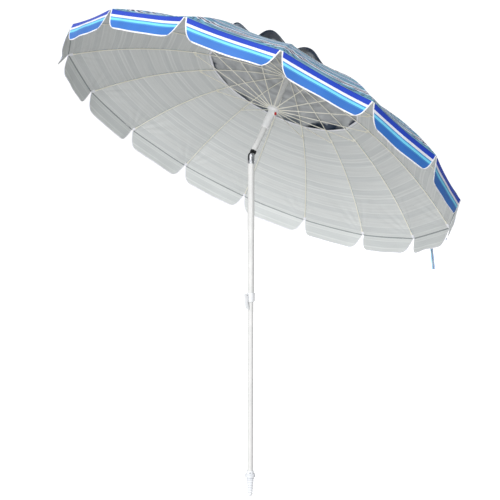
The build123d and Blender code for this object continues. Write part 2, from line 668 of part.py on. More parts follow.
def make_rib(number):
    plane = spoke_plane(rib_angle(number))
    with BuildPart() as rod:
        add(rib_stretch(plane, CROWN_R + BLADE_SPACE / 2, TIP_R - ROD_END, ROD_R).part)
        with BuildSketch(plane):
            with Locations((HUB_RING_R, HUB_Z)):
                Circle(RIB_EYE_R)
            with Locations(Location(((HUB_RING_R + blade_end_r) / 2, on_rib(CROWN_R)[1], 0),
                                    (0, 0, -rib_slope(CROWN_R)))):
                Rectangle(blade_end_r - HUB_RING_R, 2 * ROD_R)
        extrude(amount=BLADE / 2, both=True)
        with BuildSketch(plane):
            with Locations((HUB_RING_R, HUB_Z)):
                Circle(EYE_HOLE_R)
        extrude(amount=BLADE, both=True, mode=Mode.SUBTRACT)
    with BuildPart() as clip:
        half = CLIP_LENGTH / 2
        add(rib_stretch(plane, CLIP_AT_R - half, CLIP_AT_R + half, CLIP_R, ROD_R).part)
        slope = rib_slope(CLIP_AT_R)
        ear_x, ear_z = on_rib(CLIP_AT_R, -(RIB_OVER_JOINT + ROD_R + EAR_ROOT) / 2)
        with BuildSketch(plane):
            with Locations((joint_x, joint_z)):
                Circle(RIB_EYE_R)
            with Locations(Location((ear_x, ear_z, 0), (0, 0, -slope))):
                Rectangle(2 * RIB_EYE_R, RIB_OVER_JOINT - ROD_R - EAR_ROOT)
        extrude(amount=BLADE / 2, both=True)
        with BuildSketch(plane):
            with Locations((joint_x, joint_z)):
                Circle(RIVET_R)
        extrude(amount=CLEVIS_GAP / 2 + CHEEK + RIVET_PROUD, both=True)
    with BuildPart() as tip:
        add(rib_stretch(plane, TIP_R - TIP_LENGTH, TIP_R, TIP_CAP_R, ROD_R).part)
        x, z = on_rib(TIP_R)
        drop = radians(rib_slope(TIP_R))
        ahead = Vector(cos(drop), -sin(drop), 0)
        aside = Vector(sin(drop), cos(drop), 0)
        centre = Vector(x, z, 0)
        with BuildSketch(plane):
            with BuildLine():
                CenterArc((x, z), TIP_CAP_R, -degrees(drop), 90)
                Polyline(centre + ahead * TIP_CAP_R, centre, centre + aside * TIP_CAP_R)
            make_face()
        start = plane.from_local_coords(centre)
        along = plane.from_local_coords(centre + ahead) - start
        revolve(axis=Axis(start, along))
    return Compound(children=[rod.part, clip.part, tip.part])


run_x, run_z = joint_x - RUNNER_RING_R, joint_z - RUNNER_Z
strut_length = hypot(run_x, run_z)
strut_rise = degrees(atan2(run_z, run_x))


def make_strut(number):
    plane = spoke_plane(rib_angle(number))
    start = plane.from_local_coords(Vector(RUNNER_RING_R, RUNNER_Z, 0))
    end = plane.from_local_coords(Vector(joint_x, joint_z, 0))
    along = (end - start).normalized()
    line = Plane(origin=start, x_dir=along, z_dir=plane.z_dir)
    blade_end = blade_end_r - RUNNER_RING_R + BLADE_SPACE / 2
    with BuildPart() as strut:
        with BuildSketch(line):
            Circle(RIB_EYE_R)
            with Locations((blade_end / 2, 0)):
                Rectangle(blade_end, 2 * ROD_R)
        extrude(amount=BLADE / 2, both=True)
        with BuildSketch(Plane(origin=start + along * (blade_end - BLADE_SPACE / 2), z_dir=along)):
            Circle(ROD_R)
        extrude(amount=strut_length - blade_end - FORK_SOLID)
        with BuildSketch(line):
            with Locations((strut_length - FORK_SOLID, 0)):
                Rectangle(2 * FORK_SOLID, 2 * RIB_EYE_R)
            with Locations((strut_length, 0)):
                Circle(RIB_EYE_R)
        extrude(amount=CLEVIS_GAP / 2 + CHEEK, both=True)
        with BuildSketch(line):
            with Locations((strut_length, 0)):
                Rectangle(2 * (RIB_EYE_R + FORK_REACH), 8 * RIB_EYE_R)
        extrude(amount=CLEVIS_GAP / 2, both=True, mode=Mode.SUBTRACT)
        with BuildSketch(line):
            Circle(EYE_HOLE_R)
            with Locations((strut_length, 0)):
                Circle(CLEVIS_HOLE_R)
        extrude(amount=CLEVIS_GAP + CHEEK, both=True, mode=Mode.SUBTRACT)
    return strut.part


for number in range(RIBS):
    save(make_rib(number), f"rib_{number + 1:02}")
    save(make_strut(number), f"strut_{number + 1:02}")

# ---- cloth -----------------------------------------------------------------------------------------


def gore_band(angle, inner_r, outer_r, under):
    """Section of a gore on a rib: a thin band that follows the rib."""
    with BuildSketch(spoke_plane(angle)) as band:
        with BuildLine():
            low, top = (
                [on_rib(r, over) for r in (inner_r, (inner_r + outer_r) / 2, outer_r)]
                for over in (under, under + CLOTH)
            )
            ThreePointArc(*low)
            Line(low[-1], top[-1])
            ThreePointArc(*top)
            Line(top[0], low[0])
        make_face()
    return band.sketch


def gores(inner_r, outer_r, under):
    """Sixteen panels, each straight across from one rib to the next."""
    panels = []
    for number in range(RIBS):
        with BuildPart() as panel:
            sides = [gore_band(rib_angle(n), inner_r, outer_r, under) for n in (number, number + 1)]
            loft(sections=[side.faces()[0] for side in sides], ruled=True)
        panels.append(panel.part)
    return Compound(children=panels)


def on_rim(radius, over):
    """Radius of the rib point whose cloth, over above the rib, ends at this radius."""
    return bend_x + (radius - bend_x) * bend_r / (bend_r + over)


rim_at = on_rim(RIM_R, CLOTH_OVER_RIB)
save(gores(VENT_R, rim_at, CLOTH_OVER_RIB), "canopy")
save(gores(CAP_TOP_R, CAP_R, cap_under), "vent_cap")

rim_z = on_rib(rim_at, CLOTH_OVER_RIB + CLOTH)[1]
flap_r = RIM_R + FLAP_OUT


def rim_plane(number, out):
    """Plane of a flap: origin at its first rib, X along the rim, Y up the canopy axis."""
    a, b = (spoke_point(rib_angle(n), flap_r, rim_z) for n in (number, number + 1))
    along = (b - a).normalized()
    facing = along.cross(canopy_axis)
    return Plane(origin=a + facing * out, x_dir=along, z_dir=facing), (b - a).length


flaps = []
for number in range(RIBS):
    plane, width = rim_plane(number, 0)
    with BuildPart() as flap:
        with BuildSketch(plane):
            with BuildLine():
                FilletPolyline(
                    (FLAP_GAP, 0), (FLAP_INSET, -FLAP_HEIGHT), (width - FLAP_INSET, -FLAP_HEIGHT),
                    (width - FLAP_GAP, 0), radius=FLAP_CORNER_R,
                )
                Line((width - FLAP_GAP, 0), (FLAP_GAP, 0))
            make_face()
        extrude(amount=CLOTH)
    flaps.append(flap.part)
save(Compound(children=flaps), "valance")

strap_start, width = rim_plane(STRAP_FLAP, CLOTH + STRAP_OUT)
strap_top = strap_start.origin + strap_start.x_dir * (width * STRAP_SHARE)
strap_across = Vector(strap_start.x_dir.X, strap_start.x_dir.Y, 0).normalized()
with BuildPart() as tie_strap:
    with BuildSketch(Plane(origin=strap_top, x_dir=strap_across, z_dir=strap_across.cross(up))):
        with Locations((0, -STRAP_LENGTH / 2)):
            Rectangle(STRAP_WIDTH, STRAP_LENGTH)
    extrude(amount=STRAP_THICK)
save(tie_strap.part, "tie_strap")

print("rib circle", round(bend_x, 2), round(bend_z, 2), round(bend_r, 2))
print("joint", round(joint_x, 3), round(joint_z, 3), "strut", round(strut_length, 3), round(strut_rise, 3))
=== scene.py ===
# %% [markdown]
# # A beach umbrella, dressed in Blender
# The poles, joints, ribs and struts come from the engineering model and stay as they are. This lesson
# sews the cloth onto that frame, gives every part its finish, and lights the result in a white
# studio. Every cloth piece hangs on one rib, so that the canopy still works when the runner slides.

# %% Load the frame
import bmesh
import bpy
import json
from math import asin, atan2, cos, exp, hypot, pi, radians, sin, sqrt
from mathutils import Matrix, Vector, noise


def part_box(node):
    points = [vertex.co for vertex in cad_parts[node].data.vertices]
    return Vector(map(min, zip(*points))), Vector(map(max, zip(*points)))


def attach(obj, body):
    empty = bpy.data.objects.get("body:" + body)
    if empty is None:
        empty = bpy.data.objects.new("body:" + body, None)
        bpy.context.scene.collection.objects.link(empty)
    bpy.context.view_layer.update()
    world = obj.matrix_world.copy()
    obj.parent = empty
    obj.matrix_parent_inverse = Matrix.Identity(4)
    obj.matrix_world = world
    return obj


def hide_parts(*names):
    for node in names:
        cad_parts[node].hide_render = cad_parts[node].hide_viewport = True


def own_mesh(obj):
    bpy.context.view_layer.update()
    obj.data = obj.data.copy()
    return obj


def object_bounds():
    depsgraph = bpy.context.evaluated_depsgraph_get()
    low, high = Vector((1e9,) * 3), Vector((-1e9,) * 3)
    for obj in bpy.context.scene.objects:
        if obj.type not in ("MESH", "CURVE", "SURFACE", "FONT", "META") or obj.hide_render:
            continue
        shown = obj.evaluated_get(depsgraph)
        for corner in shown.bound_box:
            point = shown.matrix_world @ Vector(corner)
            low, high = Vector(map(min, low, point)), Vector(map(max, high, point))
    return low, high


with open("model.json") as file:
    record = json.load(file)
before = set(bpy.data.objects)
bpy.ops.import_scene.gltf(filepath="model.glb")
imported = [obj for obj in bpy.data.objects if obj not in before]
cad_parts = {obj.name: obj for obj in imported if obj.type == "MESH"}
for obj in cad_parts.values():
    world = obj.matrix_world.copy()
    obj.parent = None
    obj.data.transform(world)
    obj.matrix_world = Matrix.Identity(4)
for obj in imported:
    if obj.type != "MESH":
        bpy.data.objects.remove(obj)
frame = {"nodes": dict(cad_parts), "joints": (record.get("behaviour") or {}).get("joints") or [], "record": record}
cad_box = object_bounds()
print("nodes", len(frame["nodes"]), "box", [round(v, 3) for v in cad_box[1] - cad_box[0]])

# %% [markdown]
# The canopy is tilted, so nothing about it lines up with the world's axes. The frame's own joints say
# where it is: the tilt pin, the axis that the runner slides on, and the sixteen hinges of the ribs.
# From those come one direction for each rib, called its spoke.

# %% The canopy's own directions
joints = {joint["name"]: joint for joint in frame["joints"]}
RIBS = 16
canopy_axis = Vector(joints["runner_slide"]["axis"]).normalized()
pivot = Vector(joints["canopy_tilt"]["pos_m"])
rib_names = [f"rib_{number + 1:02}" for number in range(RIBS)]
hinges = [Vector(joints[name.replace("rib_", "rib_hinge_")]["pos_m"]) for name in rib_names]
hub = sum(hinges, Vector()) / RIBS
spokes = [(hinge - hub).normalized() for hinge in hinges]
hub_radius = (hinges[0] - hub).length
hub_height = (hub - pivot).dot(canopy_axis)
print("hub height", round(hub_height, 3), "radius", round(hub_radius, 4))


def at(spoke, radius, height):
    """The point this far out along a spoke and this far up the canopy pole from the tilt pin."""
    return pivot + spokes[spoke % RIBS] * radius + canopy_axis * height


# %% [markdown]
# A fibreglass rib is a straight rod that the taut cloth bends, so its shape is close to an arc of one
# circle. Three known points fix that circle: the hinge at the hub, the strut clip and the tip.

# %% The arc that every rib follows
CLIP_RADIUS, CLIP_HEIGHT = 0.460, 0.359
TIP_RADIUS, TIP_HEIGHT = 0.994, 0.083


def circle_through(a, b, c):
    """Centre and radius of the circle through three points."""
    d = 2 * (a[0] * (b[1] - c[1]) + b[0] * (c[1] - a[1]) + c[0] * (a[1] - b[1]))
    sa, sb, sc = (p[0] ** 2 + p[1] ** 2 for p in (a, b, c))
    x = (sa * (b[1] - c[1]) + sb * (c[1] - a[1]) + sc * (a[1] - b[1])) / d
    y = (sa * (c[0] - b[0]) + sb * (a[0] - c[0]) + sc * (b[0] - a[0])) / d
    return x, y, hypot(a[0] - x, a[1] - y)


bend_x, bend_y, bend_r = circle_through(
    (hub_radius, hub_height), (CLIP_RADIUS, CLIP_HEIGHT), (TIP_RADIUS, TIP_HEIGHT)
)
print("rib bend radius", round(bend_r, 3), "m")


def slope(radius):
    """Angle that the rib has dropped through where it is this far from the pole."""
    return asin((radius - bend_x) / bend_r)


def on_rib(radius, over=0.0):
    """(radius, height) of a point over the rib's centre line."""
    return (
        bend_x + (bend_r + over) * sin(slope(radius)),
        bend_y + (bend_r + over) * cos(slope(radius)),
    )


def along_rib(a, b):
    """Length of rib between two radii."""
    return (slope(b) - slope(a)) * bend_r


# %% [markdown]
# ## Paint
# A finish is a small tree of nodes around one Principled shader. These helpers keep each recipe short:
# one makes the material, one mixes colours down a ramp, and one adds fine relief as a bump.

# %% Helpers for finishes
def srgb(red, green, blue):
    """A paint-chip colour, 0 to 255, as the linear colour that shaders use."""
    levels = (red / 255, green / 255, blue / 255)
    return tuple(v / 12.92 if v <= 0.04045 else ((v + 0.055) / 1.055) ** 2.4 for v in levels) + (1.0,)


def grey(level):
    return (level, level, level, 1.0)


class Finish:
    """A new material and the shader in it."""

    def __init__(self, name, colour, roughness, **sockets):
        self.material = bpy.data.materials.new(name)
        self.material.use_nodes = True
        self.nodes = self.material.node_tree.nodes
        self.wires = self.material.node_tree.links
        self.shader = self.nodes["Principled BSDF"]
        self.set(self.shader, Base_Color=colour, Roughness=roughness, **sockets)
        self.material.diffuse_color = colour

    def set(self, node, **sockets):
        for key, value in sockets.items():
            node.inputs[key.replace("_", " ")].default_value = value

    def node(self, kind, **sockets):
        made = self.nodes.new(kind)
        self.set(made, **sockets)
        return made

    def link(self, source, target):
        self.wires.new(source, target)

    def place(self, kind, scale=(1, 1, 1)):
        """Surface coordinates of that kind, stretched by scale."""
        source = self.nodes.new("ShaderNodeTexCoord").outputs[kind]
        mapping = self.node("ShaderNodeMapping", Scale=scale)
        self.link(source, mapping.inputs["Vector"])
        return mapping.outputs["Vector"]

    def noise(self, where, scale, detail=3.0):
        texture = self.node("ShaderNodeTexNoise", Scale=scale, Detail=detail)
        self.link(where, texture.inputs["Vector"])
        return texture.outputs["Fac"]

    def ramp(self, factor, stops, smooth=True):
        """Colour by a factor from 0 to 1: stops are (place, colour)."""
        ramp = self.nodes.new("ShaderNodeValToRGB")
        ramp.color_ramp.interpolation = "LINEAR" if smooth else "CONSTANT"
        elements = ramp.color_ramp.elements
        elements.remove(elements[1])
        elements[0].position, elements[0].color = stops[0]
        for place, colour in stops[1:]:
            elements.new(place).color = colour
        self.link(factor, ramp.inputs["Fac"])
        return ramp.outputs["Color"]

    def drift(self, where, scale, low, high, detail=3.0, full=0.7):
        """A tone that wanders between low and high in soft patches."""
        return self.ramp(self.noise(where, scale, detail), [(0.3, low), (full, high)])

    def from_edge(self):
        """Distance from the cloth's outer edge, in metres."""
        measure = self.nodes.new("ShaderNodeSeparateXYZ")
        self.link(self.place("UV"), measure.inputs[0])
        return measure.outputs[1]

    def mix(self, a, b, factor, blend="MIX"):
        mixer = self.nodes.new("ShaderNodeMix")
        mixer.data_type, mixer.blend_type = "RGBA", blend
        for socket, value in ((mixer.inputs[0], factor), (mixer.inputs[6], a), (mixer.inputs[7], b)):
            if isinstance(value, (int, float, tuple)):
                socket.default_value = value
            else:
                self.link(value, socket)
        return mixer.outputs[2]

    def maths(self, operation, a, b=0.0):
        step = self.nodes.new("ShaderNodeMath")
        step.operation = operation
        for socket, value in zip(step.inputs, (a, b)):
            if isinstance(value, (int, float)):
                socket.default_value = value
            else:
                self.link(value, socket)
        return step.outputs[0]

    def colour(self, source):
        self.link(source, self.shader.inputs["Base Color"])

    def soiled(self, printed, scale, darkest):
        """Colour the cloth with its print, dulled in broad soft patches."""
        patches = self.drift(self.place("Object"), scale, grey(darkest), grey(1.0))
        self.colour(self.mix(printed, patches, 1.0, "MULTIPLY"))

    def bump(self, height, strength, depth):
        relief = self.node("ShaderNodeBump", Strength=strength, Distance=depth)
        self.link(height, relief.inputs["Height"])
        before = self.shader.inputs["Normal"]
        if before.is_linked:
            self.link(before.links[0].from_socket, relief.inputs["Normal"])
        self.link(relief.outputs["Normal"], before)

    def weave(self, threads_per_metre, strength=0.25, depth=0.0002):
        """Two crossed sets of threads, drawn across the cloth's own measure in metres."""
        across = self.nodes.new("ShaderNodeSeparateXYZ")
        self.link(self.place("UV", (threads_per_metre,) * 3), across.inputs[0])
        warp, weft = (self.maths("SINE", self.maths("MULTIPLY", across.outputs[i], 2 * pi)) for i in (0, 1))
        self.bump(self.maths("MULTIPLY", warp, weft), strength, depth)


# %% [markdown]
# ## Striped cloth
# The stripes are printed across the cloth before it is cut, parallel to the rim of each panel, so they
# meet in chevrons at the ribs. Each panel's UV map is in metres, with V the distance from the rim, and
# a ramp with hard steps turns that distance into stripes. A list of (width, colour) is the pattern.

# %% Stripe colours
TEAL, DEEP_TEAL, NAVY = srgb(98, 172, 204), srgb(26, 68, 102), srgb(22, 32, 84)
CHALK, ROYAL, DEEP_ROYAL = srgb(236, 238, 250), srgb(12, 62, 188), srgb(10, 42, 146)
CYAN, SKY, MID_BLUE = srgb(118, 216, 250), srgb(62, 140, 205), srgb(44, 112, 196)
SLATE, SILVER, LINEN = srgb(46, 62, 84), srgb(196, 200, 200), srgb(244, 245, 250)


def stripes(finish, pattern, repeat):
    """Hard-edged stripes along V. Widths are in metres, and the pattern starts again after repeat."""
    share = finish.maths("DIVIDE", finish.maths("MODULO", finish.from_edge(), repeat), repeat)
    stops, reached = [], 0.0
    for width, tint in pattern:
        stops.append((reached / repeat, tint))
        reached += width
    return finish.ramp(share, stops, smooth=False)


# %% Outer cloth of the canopy
THREADS_PER_METRE = 900
TOP_STRIPES = [
    (0.020, TEAL), (0.008, DEEP_TEAL), (0.014, TEAL), (0.009, DEEP_TEAL), (0.014, TEAL), (0.010, CHALK),
    (0.013, NAVY), (0.008, CHALK), (0.013, NAVY), (0.010, CHALK), (0.018, TEAL), (0.009, DEEP_TEAL),
    (0.014, TEAL), (0.009, DEEP_TEAL), (0.018, SKY), (0.008, CHALK), (0.014, NAVY), (0.008, CHALK),
    (0.020, TEAL), (0.010, DEEP_TEAL),
]


def canopy_outside():
    made = Finish("striped polyester", TEAL, 0.62, Sheen_Weight=0.15, Sheen_Roughness=0.4)
    printed = stripes(made, TOP_STRIPES, sum(width for width, _ in TOP_STRIPES))
    made.soiled(printed, 7.0, 0.88)
    made.weave(THREADS_PER_METRE)
    return made.material


# %% Valance cloth
FLAP_HEIGHT = 0.084
VALANCE_REPEAT = 0.12
VALANCE_STRIPES = [
    (0.0015, DEEP_ROYAL), (0.0200, ROYAL), (0.0105, CHALK), (0.0050, SKY), (0.0090, CYAN),
    (0.0050, SKY), (0.0700, MID_BLUE),
]


def valance_outside():
    made = Finish("valance polyester", ROYAL, 0.6, Sheen_Weight=0.12, Sheen_Roughness=0.4)
    made.soiled(stripes(made, VALANCE_STRIPES, VALANCE_REPEAT), 9.0, 0.86)
    made.weave(THREADS_PER_METRE)
    return made.material


# %% [markdown]
# The inside is coated silver against the sun. It isn't a mirror: the coating follows the weave, so it
# shines softly, and the print on the other side shows through as faint bands along the rim. A thin
# grey line of painted shade runs along the rim, in the fold where the valance is sewn on.

# %% Silver inside
PALE, ASH, DUSK = srgb(230, 233, 232), srgb(216, 219, 218), srgb(205, 209, 209)
# Painted shade: a thin grey line in the fold at the rim, where the valance is sewn on.
FOLD_SHADE_GREY = srgb(176, 180, 182)
FOLD_SHADE_WIDTH = 0.0016
STREAK_SHARE = 0.42
SHOW_THROUGH = [
    (0.006, PALE), (0.013, ASH), (0.003, PALE), (0.034, DUSK), (0.005, PALE), (0.046, ASH), (0.002, PALE),
    (0.030, DUSK), (0.004, ASH), (0.003, PALE), (0.052, ASH), (0.006, PALE), (0.028, DUSK),
]


def silver_inside():
    made = Finish("silver coating", ASH, 0.5, Specular_IOR_Level=0.5)
    printed = stripes(made, SHOW_THROUGH, sum(width for width, _ in SHOW_THROUGH))
    streaks = made.drift(made.place("UV", (2, 60, 1)), 1.6, DUSK, PALE, detail=4.0)
    # Painted shade along the rim, in the fold where the valance is sewn on.
    fold_shade = made.ramp(made.from_edge(), [(0.0, FOLD_SHADE_GREY), (FOLD_SHADE_WIDTH, grey(1.0))], smooth=False)
    made.colour(made.mix(made.mix(printed, streaks, STREAK_SHARE), fold_shade, 1.0, "MULTIPLY"))
    made.weave(THREADS_PER_METRE, 0.2)
    made.bump(made.noise(made.place("UV", (9, 22, 1)), 1.0, 3.0), 0.35, 0.004)
    return made.material


# %% Vent cap
# Painted shade under the cap: a ragged slate band along the open edge, and a lining kept darker than the canopy's
# silver.
SHADE_BAND, SHADE_BAND_BLUR, SHADE_BAND_WAVER = 0.048, 0.015, 0.5
LINING_DIM, LINING_BRIGHT = srgb(150, 154, 158), srgb(206, 209, 211)


def cap_inside():
    """Silver towards the hub, dimmed as painted shade inside the cap, with painted shade in slate patches near the
    open edge.
    """
    made = Finish("cap lining", SILVER, 0.38, Specular_IOR_Level=0.7)
    patchy = made.maths("SUBTRACT", made.noise(made.place("Object", (7, 7, 7)), 1.0), 0.47)
    edge = made.maths("ADD", made.from_edge(), made.maths("MULTIPLY", patchy, SHADE_BAND_WAVER))
    # The lining's tones are dimmed as painted shade; the slate band near the edge is painted shade too.
    lining = made.drift(made.place("UV", (5, 12, 1)), 1.5, LINING_DIM, LINING_BRIGHT)
    borders = [(SHADE_BAND - SHADE_BAND_BLUR, grey(0.0)), (SHADE_BAND + SHADE_BAND_BLUR, grey(1.0))]
    made.colour(made.mix(SLATE, lining, made.ramp(edge, borders)))
    made.bump(made.noise(made.place("UV", (14, 30, 1)), 1.0, 4.0), 0.6, 0.006)
    return made.material


def cap_outside():
    made = Finish("slate polyester", SLATE, 0.55, Sheen_Weight=0.1)
    made.colour(made.drift(made.place("Object"), 12.0, srgb(36, 50, 70), srgb(58, 76, 100)))
    made.weave(THREADS_PER_METRE)
    return made.material


# %% Tapes and ribbon
def binding_tape():
    made = Finish("binding tape", LINEN, 0.7, Sheen_Weight=0.1)
    made.colour(made.drift(made.place("Object"), 60.0, srgb(232, 234, 242), srgb(250, 250, 254)))
    made.weave(1400, 0.4, 0.0003)
    return made.material


STRAP_WIDTH = 0.016
RIBBON_STRIPES = [(0.004, CYAN), (0.002, LINEN), (0.004, DEEP_TEAL), (0.002, LINEN), (0.004, SKY)]


def ribbon():
    made = Finish("ribbon webbing", SKY, 0.6, Sheen_Weight=0.1)
    made.colour(stripes(made, RIBBON_STRIPES, STRAP_WIDTH))
    made.weave(1200, 0.4, 0.0003)
    return made.material


# %% [markdown]
# ## Hard finishes
# Baked enamel has a faint orange peel, moulded plastic and fibreglass a coarser skin, and bare metal is
# marked by handling. Colours drift a little from place to place, and so does the gloss of paint and
# plastic.

# %% Hard finishes
def moulded(name, low, high, roughness, grain=350.0, relief=0.06, **sockets):
    """Plastic or paint: a colour that drifts a little, and a fine skin."""
    made = Finish(name, high, roughness, **sockets)
    made.colour(made.drift(made.place("Object"), 14.0, low, high, full=0.65))
    made.bump(made.noise(made.place("Object"), grain, 2.0), relief, 0.0006)
    rough = made.drift(made.place("Object"), 40.0, grey(roughness * 0.8), grey(roughness * 1.25))
    made.link(rough, made.shader.inputs["Roughness"])
    return made.material


def metal(name, low, high, roughness):
    """Bare or plated metal with fine handling marks."""
    made = Finish(name, high, roughness, Metallic=1.0)
    made.colour(made.drift(made.place("Object"), 60.0, low, high))
    made.bump(made.noise(made.place("Object", (1, 1, 12)), 220.0, 3.0), 0.12, 0.0004)
    return made.material


# %% Paint the hard parts
enamel_low, enamel_high = srgb(218, 219, 218), srgb(228, 228, 227)
fibre_low, fibre_high = srgb(240, 237, 222), srgb(252, 250, 238)
hard = {
    "pole_enamel": moulded("white enamel", enamel_low, enamel_high, 0.26, 500.0, 0.04, Coat_Weight=0.4),
    "anchor_plastic": moulded("anchor plastic", srgb(228, 231, 236), srgb(244, 246, 249), 0.35),
    "clamp_plastic": moulded("clamp plastic", srgb(226, 229, 232), srgb(243, 244, 246), 0.34),
    "hub_plastic": moulded("hub plastic", srgb(238, 239, 240), srgb(250, 250, 250), 0.36),
    "dark_plastic": moulded("black plastic", srgb(16, 17, 19), srgb(34, 35, 38), 0.42, 300.0, 0.15),
    "knuckle_metal": metal("cast alloy", srgb(150, 152, 156), srgb(206, 208, 212), 0.34),
    "steel": metal("plated steel", srgb(178, 180, 184), srgb(214, 216, 218), 0.22),
    "red_plastic": moulded("red plastic", srgb(196, 22, 16), srgb(228, 38, 28), 0.3, Coat_Weight=0.3),
    "rib_fibreglass": moulded("cream fibreglass", fibre_low, fibre_high, 0.4, 260.0, 0.1),
}
slot_of = {part["node"]: part["material_slot"] for part in frame["record"]["subparts"]}
for name, node in frame["nodes"].items():
    if slot_of[name] in hard:
        for place in node.material_slots:
            place.material = hard[slot_of[name]]
cloth_paint = {
    "outside": canopy_outside(), "inside": silver_inside(), "valance": valance_outside(),
    "cap_outside": cap_outside(), "cap_inside": cap_inside(), "tape": binding_tape(), "ribbon": ribbon(),
}
print("painted", sum(slot_of[name] in hard for name in frame["nodes"]), "hard parts")

# %% [markdown]
# ## Cutting the cloth
# A gore is the cloth from one rib to the next. On the real umbrella sixteen gores are sewn edge to edge
# and stretched over the ribs. Here the cloth is divided the other way: each piece is centred on a rib
# and takes half of the gore on each side. When the runner comes down the ribs swing in like petals, and
# by symmetry two such pieces stay together, or nearly so, in the middle of the gore.

# %% Sheets from a grid of points
CLOTH = 0.0006
SEWN_WITHIN = 0.00002
CRISP_OVER = radians(50)


def sheet_mesh(name, patches, materials, thickness=CLOTH):
    """One mesh from grids of (point, uv) rows, given a real thickness.

    Material 0 is the outside and 1 the inside of the cloth.
    """
    points, faces, measures = [], [], []
    for rows in patches:
        start, wide = len(points), len(rows[0])
        points += [point for row in rows for point, _ in row]
        flat = [uv for row in rows for _, uv in row]
        for i in range(len(rows) - 1):
            for j in range(wide - 1):
                corner = i * wide + j
                ring = (corner, corner + 1, corner + wide + 1, corner + wide)
                faces.append([start + n for n in ring])
                measures += [flat[n] for n in ring]
    mesh = bpy.data.meshes.new(name)
    mesh.from_pydata(points, [], faces)
    layer = mesh.uv_layers.new(name="cut")
    layer.data.foreach_set("uv", [value for uv in measures for value in uv])
    mesh.polygons.foreach_set("use_smooth", [True] * len(mesh.polygons))
    for material in materials:
        mesh.materials.append(material)
    sewn = bmesh.new()
    sewn.from_mesh(mesh)
    bmesh.ops.remove_doubles(sewn, verts=sewn.verts, dist=SEWN_WITHIN)
    sewn.to_mesh(mesh)
    sewn.free()
    piece = bpy.data.objects.new(name, mesh)
    bpy.context.scene.collection.objects.link(piece)
    solid = piece.modifiers.new("thickness", "SOLIDIFY")
    solid.thickness, solid.offset = thickness, 0.0
    solid.material_offset = 1 if len(materials) > 1 else 0
    crisp = piece.modifiers.new("crisp edges", "EDGE_SPLIT")
    crisp.split_angle = CRISP_OVER
    return piece


# %% [markdown]
# Stretched cloth between two bent rods is a saddle: it is arched along the ribs and pulled in slightly
# between them. Fine folds run out from each rib tip, where the load enters the cloth. Cloth simulation
# could find the same shape, but a taut membrane is simple enough to write down, and a written shape
# is smooth, repeatable and meets its neighbour exactly.

# %% The shape of a gore
OVER_RIB = 0.0043  # middle of the cloth above a rib's centre line
RIM_EDGE = 1.0
VENT_EDGE = 0.388
SAG, RIM_SAG = 0.034, 0.016  # share of a gore's width, half way up and at the edges
SLACK = 0.0022
FOLD = 0.0035
FOLD_REACH, FOLD_START, FOLD_CLEAR = 0.13, 0.05, 0.02
CREASES, RIPPLES = 8, 19

rim_radius = bend_x + (RIM_EDGE - bend_x) * bend_r / (bend_r + OVER_RIB)


def gore_frame(gore, radius, over):
    """The two ends of the cloth's straight line across a gore, and the way out of the canopy there."""
    ends = [at(gore + side, *on_rib(radius, over)) for side in (0, 1)]
    middle = (spokes[gore % RIBS] + spokes[(gore + 1) % RIBS]).normalized()
    return ends, middle * sin(slope(radius)) + canopy_axis * cos(slope(radius))


def gore_width(radius):
    return 2 * radius * sin(pi / RIBS)


def folds(gore, across, radius):
    """Height of the fine folds that fan out from the two rib tips of a gore."""
    width = gore_width(radius)
    down = along_rib(radius, rim_radius)
    height = 0.0
    for side in (0, 1):
        beside = abs(across - side) * width
        away = hypot(beside, down)
        angle = atan2(beside, down + 0.004)
        crease = 0.8 - 2 * abs(sin(CREASES * angle + 1.7 * gore + 2 * side))
        fan = crease + 0.5 * sin(RIPPLES * angle + 2.9 * gore)
        fade = exp(-away / FOLD_REACH) * min(away / FOLD_START, 1)
        height += fan * fade * min(beside / FOLD_CLEAR, 1)
    return height * FOLD


def gore_point(gore, across, radius, slack=1.0):
    """A point of the cloth: across is 0 on one rib and 1 on the next."""
    ends, out = gore_frame(gore, radius, OVER_RIB)
    flat = ends[0].lerp(ends[1], across)
    width = (ends[1] - ends[0]).length
    reach = (radius - VENT_EDGE) / (rim_radius - VENT_EDGE)
    depth = RIM_SAG + (SAG - RIM_SAG) * sin(pi * max(0.0, min(1.0, reach)))
    arch = 4 * across * (1 - across)
    uneven = noise.noise(Vector((gore * 3.1 + 2 * across, reach * 9, 0.0))) * SLACK * arch
    return flat + out * (uneven + folds(gore, across, radius) * slack - depth * width * arch)


# %% Panels
HALF_COLUMNS = 22
PANEL_ROWS = 72
TAPE_WIDTH = 0.0048
canopy_paints = [cloth_paint["outside"], cloth_paint["inside"]]


def halves(spoke):
    """The half gores on the two sides of a rib, as (gore, start, end) across the gore."""
    return ((spoke - 1) % RIBS, 0.5, 1.0), (spoke, 0.0, 0.5)


def spaced(a, b, count):
    return [a + (b - a) * step / count for step in range(count + 1)]


def cloth_rows(shape, gore, start, end, radii, edge, columns):
    """Rows of (point, uv) over part of a gore, for a shape that gives the point."""
    rows = []
    for radius in radii:
        width, down = gore_width(radius), along_rib(radius, edge)
        acrosses = spaced(start, end, columns)
        rows.append([(shape(gore, across, radius), ((across - 0.5) * width, down)) for across in acrosses])
    return rows


def gore_rows(spoke, radii):
    return [cloth_rows(gore_point, *half, radii, rim_radius, HALF_COLUMNS) for half in halves(spoke)]


def panel(spoke):
    patches = gore_rows(spoke, spaced(rim_radius, VENT_EDGE, PANEL_ROWS))
    return sheet_mesh(f"canopy_panel_{spoke + 1:02}", patches, canopy_paints)


panels = [panel(spoke) for spoke in range(RIBS)]
print("panels", len(panels), "with", len(panels[0].data.polygons), "faces each")

# %% [markdown]
# The raw edge of the vent is folded into a white tape, three times as thick as the cloth.

# %% Vent edge tape
VENT_TAPE_WIDTH = 0.009
TAPE_LIP = 0.0005
TAPE_THICKNESS = 3 * CLOTH


